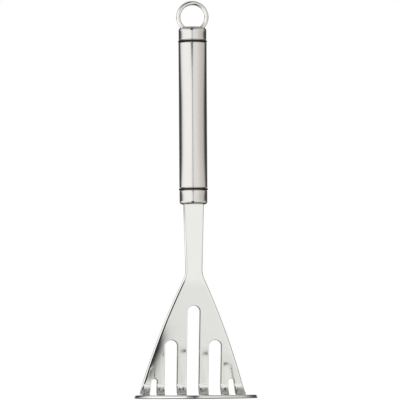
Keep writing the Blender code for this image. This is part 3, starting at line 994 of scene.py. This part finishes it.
# Light of the tent all round the object, as (degrees from the camera, colour). Left is negative.
TENT_ROUND = [
    (-180, (0.90, 0.90, 0.90)),
    (-157, (0.90, 0.90, 0.90)),
    (-148, (0.05, 0.05, 0.05)),
    (-119, (0.05, 0.05, 0.05)),
    (-105, (0.22, 0.22, 0.22)),
    (-97, (0.62, 0.62, 0.61)),
    (-86, (0.96, 0.95, 0.94)),
    (-74, (1.05, 1.04, 1.02)),
    (-60, (1.12, 1.10, 1.08)),
    (-22, (1.12, 1.10, 1.08)),
    (-5, (1.02, 1.00, 0.98)),
    (2, (0.90, 0.90, 0.88)),
    (20, (0.90, 0.90, 0.88)),
    (35, (0.86, 0.84, 0.80)),
    (48, (0.77, 0.74, 0.69)),
    (65, (0.68, 0.65, 0.60)),
    (78, (0.64, 0.61, 0.56)),
    (89, (0.58, 0.55, 0.51)),
    (97, (0.38, 0.36, 0.34)),
    (106, (0.13, 0.13, 0.12)),
    (116, (0.05, 0.05, 0.05)),
    (148, (0.05, 0.05, 0.05)),
    (157, (0.90, 0.90, 0.90)),
    (180, (0.90, 0.90, 0.90)),
]
# How that light falls off, as (degrees above the horizon, share).
TENT_RISE = [
    (-90, 0.25),
    (-62, 0.28),
    (-50, 0.45),
    (-38, 0.80),
    (-29, 0.92),
    (-20, 1.0),
    (0, 1.0),
    (18, 0.99),
    (30, 0.94),
    (38, 0.60),
    (50, 0.40),
    (62, 0.34),
    (90, 0.32),
]
# The tent reaches further round above and below the horizon, as (height, share of the bearing).
# Heights here and below are those of a direction, from -1 straight down to 1 straight up.
TENT_REACH = [
    (-1.0, 0.75),
    (-0.10, 0.75),
    (-0.03, 1.0),
    (0.09, 1.0),
    (0.20, 0.82),
    (1.0, 0.82),
]
# The gap that the camera looks in through, narrow and veiled at the horizon, wide and open away
# from it: each is (at the horizon, away from it), and it opens between the two heights below.
GAP_MIDDLE = (math.radians(-2.5), math.radians(-6.0))
GAP_WIDTH = (math.radians(3.5), math.radians(17.0))
GAP_SOFTNESS = (math.radians(1.5), math.radians(8.0))
GAP_LIGHT = (0.38, 0.03)
GAP_OPENS = (0.20, 0.32)
# Heights between which the tent's top turns an even white.
EVEN_TOP = (0.35, 0.85)

FLOOR_RADIUS = 0.55
FLOOR_DROP = 0.0003
FLOOR_GLOW = 0.70

CAMERA_BEARING = math.radians(-4.8)
CAMERA_ROLL = math.radians(-0.35)
CAMERA_LENS = 360.0
CAMERA_DISTANCE = 2.642
CAMERA_HEIGHT = 0.022
CAMERA_AIM = Vector((0.0030, 0.0, 0.1310))


def turn_from_camera(tree, across, along):
    """Bearing of a direction as a share of a turn, 0.5 where the camera stands."""
    ahead = maths(tree, "MULTIPLY", along, -1.0)
    bearing = maths(tree, "ARCTAN2", across, ahead)
    from_camera = maths(tree, "SUBTRACT", bearing, CAMERA_BEARING)
    share = maths(tree, "DIVIDE", from_camera, math.tau)
    shifted = maths(tree, "ADD", share, 0.5)
    return maths(tree, "FRACT", shifted)


def tent_colour(tree, turn, upward):
    """Colour of the tent in a direction: by bearing, evened out at the top, and by height."""
    height = maths(tree, "MULTIPLY_ADD", upward, 0.5, 0.5)
    reach_stops = [(z / 2 + 0.5, (share,) * 3) for z, share in TENT_REACH]
    squeeze = ramp(tree, height, reach_stops)
    off_camera = maths(tree, "SUBTRACT", turn, 0.5)
    reached = maths(tree, "MULTIPLY_ADD", off_camera, squeeze, 0.5)
    round_stops = [(angle / 360 + 0.5, tint) for angle, tint in TENT_ROUND]
    round_light = ramp(tree, reached, round_stops)
    top = spread(tree, upward, *EVEN_TOP, 0.0, 1.0, smooth=True)
    evened = mixed(tree, "MIX", top, round_light, (1.0, 1.0, 1.0, 1.0))
    rise_stops = [(math.sin(math.radians(a)) / 2 + 0.5, (share,) * 3) for a, share in TENT_RISE]
    return mixed(tree, "MULTIPLY", 1.0, evened, ramp(tree, height, rise_stops))


def tent_strength(tree, turn, upward):
    """How much of the tent's light there is in a direction: little inside the camera's gap."""
    steepness = maths(tree, "ABSOLUTE", upward)
    away = spread(tree, steepness, *GAP_OPENS, 0.0, 1.0)
    centre, width, softness, veil = (
        spread(tree, away, 0.0, 1.0, *ends)
        for ends in (GAP_MIDDLE, GAP_WIDTH, GAP_SOFTNESS, GAP_LIGHT)
    )
    off_camera = maths(tree, "SUBTRACT", turn, 0.5)
    angle = maths(tree, "MULTIPLY", off_camera, math.tau)
    off_centre = maths(tree, "SUBTRACT", angle, centre)
    from_centre = maths(tree, "ABSOLUTE", off_centre)
    half_width = maths(tree, "MULTIPLY", width, 0.5)
    past_edge = maths(tree, "SUBTRACT", from_centre, half_width)
    share = maths(tree, "DIVIDE", past_edge, softness)
    out_of_gap = spread(tree, share, 0.0, 1.0, 0.0, 1.0, smooth=True)
    return maths(tree, "MAXIMUM", veil, out_of_gap)


def studio_world():
    """A light tent with a narrow gap for the camera, plain white where it is looked at directly."""
    world = bpy.data.worlds.new("light_tent")
    bpy.context.scene.world = world
    world.use_nodes = True
    tree = world.node_tree
    tree.nodes.clear()
    place = tree.nodes.new("ShaderNodeTexCoord")
    split = tree.nodes.new("ShaderNodeSeparateXYZ")
    tree.links.new(place.outputs["Generated"], split.inputs["Vector"])
    across, along, upward = (split.outputs[axis] for axis in "XYZ")
    turn = turn_from_camera(tree, across, along)
    tent = tree.nodes.new("ShaderNodeBackground")
    tree.links.new(tent_colour(tree, turn, upward), tent.inputs["Color"])
    tree.links.new(tent_strength(tree, turn, upward), tent.inputs["Strength"])
    seen = tree.nodes.new("ShaderNodeBackground")
    seen.inputs["Color"].default_value = (1.0, 1.0, 1.0, 1.0)
    path = tree.nodes.new("ShaderNodeLightPath")
    mix = tree.nodes.new("ShaderNodeMixShader")
    tree.links.new(path.outputs["Is Camera Ray"], mix.inputs["Fac"])
    tree.links.new(tent.outputs["Background"], mix.inputs[1])
    tree.links.new(seen.outputs["Background"], mix.inputs[2])
    output = tree.nodes.new("ShaderNodeOutputWorld")
    tree.links.new(mix.outputs["Shader"], output.inputs["Surface"])


def studio_floor(base):
    """A round, brightly lit pale table top that the steel does not mirror."""
    bpy.ops.mesh.primitive_circle_add(
        vertices=96, radius=FLOOR_RADIUS, fill_type="NGON", location=(0.0, 0.0, -FLOOR_DROP)
    )
    floor = bpy.context.object
    floor.name = "studio_floor"
    floor.visible_glossy = False
    material = bpy.data.materials.new("pale floor")
    material.use_nodes = True
    shader = material.node_tree.nodes["Principled BSDF"]
    shader.inputs["Base Color"].default_value = (*base, 1.0)
    shader.inputs["Roughness"].default_value = 0.9
    shader.inputs["Specular IOR Level"].default_value = 0.0
    shader.inputs["Emission Color"].default_value = (1.0, 1.0, 1.0, 1.0)
    shader.inputs["Emission Strength"].default_value = FLOOR_GLOW
    floor.data.materials.append(material)


def studio_camera():
    """A long lens just above the table, a few degrees to the left, looking slightly upwards."""
    camera = link("camera", bpy.data.cameras.new("camera"))
    camera.data.lens = CAMERA_LENS
    camera.data.sensor_width = 36.0
    camera.data.clip_start = 0.1
    camera.data.clip_end = 20.0
    side = Vector((math.sin(CAMERA_BEARING), -math.cos(CAMERA_BEARING), 0.0)) * CAMERA_DISTANCE
    camera.location = side + Vector((CAMERA_AIM.x, CAMERA_AIM.y, CAMERA_HEIGHT))
    turn = (CAMERA_AIM - camera.location).to_track_quat("-Z", "Y").to_matrix()
    roll = Matrix.Rotation(CAMERA_ROLL, 3, "Z")
    camera.rotation_euler = (turn @ roll).to_euler()
    bpy.context.scene.camera = camera


class MASHER_OT_studio(bpy.types.Operator):
    """Sets up floor, a world that gives the soft light, and camera"""

    bl_idname = "masher.studio"
    bl_label = "Studio"

    def execute(self, context):
        studio_world()
        studio_floor(context.scene.masher_colours.floor)
        studio_camera()
        context.scene.view_settings.view_transform = "Standard"
        return {"FINISHED"}


class MASHER_PT_sidebar(bpy.types.Panel):
    """Lists the masher's sizes, colours and pieces"""

    bl_label = "Potato Masher"
    bl_idname = "MASHER_PT_sidebar"
    bl_space_type = "VIEW_3D"
    bl_region_type = "UI"
    bl_category = "Masher"

    def draw(self, context):
        scene = context.scene
        for group in (scene.masher_blade, scene.masher_handle, scene.masher_colours):
            box = self.layout.box()
            for name in group.__annotations__:
                box.prop(group, name)
        for operator in OPERATORS:
            self.layout.operator(operator.bl_idname)


GROUPS = (MasherBladeSizes, MasherHandleSizes, MasherColours)
OPERATORS = (
    MASHER_OT_blade,
    MASHER_OT_tube,
    MASHER_OT_caps,
    MASHER_OT_rings,
    MASHER_OT_loop,
    MASHER_OT_inside,
    MASHER_OT_studio,
)
CLASSES = GROUPS + OPERATORS + (MASHER_PT_sidebar,)


def register():
    """Adds the masher's classes and its settings to the scene."""
    for cls in CLASSES:
        bpy.utils.register_class(cls)
    bpy.types.Scene.masher_blade = bpy.props.PointerProperty(type=MasherBladeSizes)
    bpy.types.Scene.masher_handle = bpy.props.PointerProperty(type=MasherHandleSizes)
    bpy.types.Scene.masher_colours = bpy.props.PointerProperty(type=MasherColours)


def unregister():
    """Takes them out again."""
    del bpy.types.Scene.masher_colours
    del bpy.types.Scene.masher_handle
    del bpy.types.Scene.masher_blade
    for cls in reversed(CLASSES):
        bpy.utils.unregister_class(cls)


def main():
    """Builds every piece and the studio."""
    register()
    bpy.ops.masher.blade()
    bpy.ops.masher.tube()
    bpy.ops.masher.caps()
    bpy.ops.masher.rings()
    bpy.ops.masher.loop()
    bpy.ops.masher.inside()
    bpy.ops.masher.studio()


if __name__ == "__main__":
    main()
